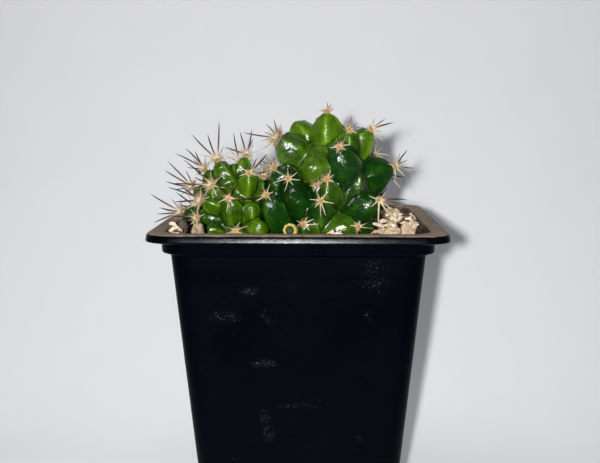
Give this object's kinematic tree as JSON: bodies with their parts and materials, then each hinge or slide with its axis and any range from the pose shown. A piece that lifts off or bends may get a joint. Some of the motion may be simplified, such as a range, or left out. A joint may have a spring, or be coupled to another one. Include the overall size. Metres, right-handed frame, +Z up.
{
  "type": "potted round cactus",
  "caption": "Small clumping cactus with glossy swollen tubercles and spine clusters, in a square black nursery pot.",
  "frame": {"origin": "centre of the pot's flat base", "axes": "+Z up, -Y to the front, the smaller head towards -X"},
  "size_m": [0.0733, 0.07, 0.1098],
  "materials": {
    "pot_plastic": "satin black thin moulded plastic, dusty with lime specks",
    "potting_mix": "matte gritty brown",
    "pale_stone": "matte rough pale stone",
    "tan_stone": "matte crumbly tan stone",
    "dark_stone": "matte rough dark stone",
    "main_flesh": "gloss waxy green skin, yellower on young tubercles",
    "left_flesh": "gloss waxy green skin",
    "bud_flesh": "satin yellow-green",
    "spines_and_wool": "matte cream spines with dark points, orange-tan wool"
  },
  "bodies": {
    "root": {"nursery_pot": "pot_plastic", "potting_mix": "potting_mix", "stone_pale_left": "pale_stone", "stone_chip_left": "pale_stone", "stone_pale_front": "pale_stone", "stone_tan_right": "tan_stone", "stone_rough_right": "tan_stone", "stone_small_right": "tan_stone", "stone_back_right": "tan_stone", "stone_back": "tan_stone", "stone_back_left": "tan_stone", "stone_dark_left": "dark_stone", "stone_brown_right": "dark_stone", "stem_main": "main_flesh", "stem_left": "left_flesh", "flower_bud": "bud_flesh", "spines_main_crown": "spines_and_wool", "spines_main_brow": "spines_and_wool", "spines_main_brow_right": "spines_and_wool", "spines_main_shoulder_left": "spines_and_wool", "spines_main_face": "spines_and_wool", "spines_main_cheek_right": "spines_and_wool", "spines_main_cheek_left": "spines_and_wool", "spines_main_side_left": "spines_and_wool", "spines_main_middle_left": "spines_and_wool", "spines_main_middle": "spines_and_wool", "spines_main_chin": "spines_and_wool", "spines_main_chin_right": "spines_and_wool", "spines_main_flank_left": "spines_and_wool", "spines_main_foot_left": "spines_and_wool", "spines_main_foot_right": "spines_and_wool", "spines_main_back_1": "spines_and_wool", "spines_main_back_2": "spines_and_wool", "spines_main_back_3": "spines_and_wool", "spines_main_back_4": "spines_and_wool", "spines_main_back_5": "spines_and_wool", "spines_main_back_6": "spines_and_wool", "spines_main_back_7": "spines_and_wool", "spines_main_back_8": "spines_and_wool", "spines_main_skirt_2": "spines_and_wool", "spines_main_skirt_3": "spines_and_wool", "spines_main_skirt_4": "spines_and_wool", "spines_left_crown_left": "spines_and_wool", "spines_left_crown": "spines_and_wool", "spines_left_crown_back": "spines_and_wool", "spines_left_brow": "spines_and_wool", "spines_left_brow_right": "spines_and_wool", "spines_left_brow_left": "spines_and_wool", "spines_left_cheek_left": "spines_and_wool", "spines_left_cheek": "spines_and_wool", "spines_left_side_left": "spines_and_wool", "spines_left_side_back": "spines_and_wool", "spines_left_jaw_left": "spines_and_wool", "spines_left_ear_left": "spines_and_wool", "spines_left_chin": "spines_and_wool", "spines_left_back_1": "spines_and_wool", "spines_left_back_2": "spines_and_wool", "spines_left_back_3": "spines_and_wool", "spines_left_back_5": "spines_and_wool"}
  },
  "joints": []
}
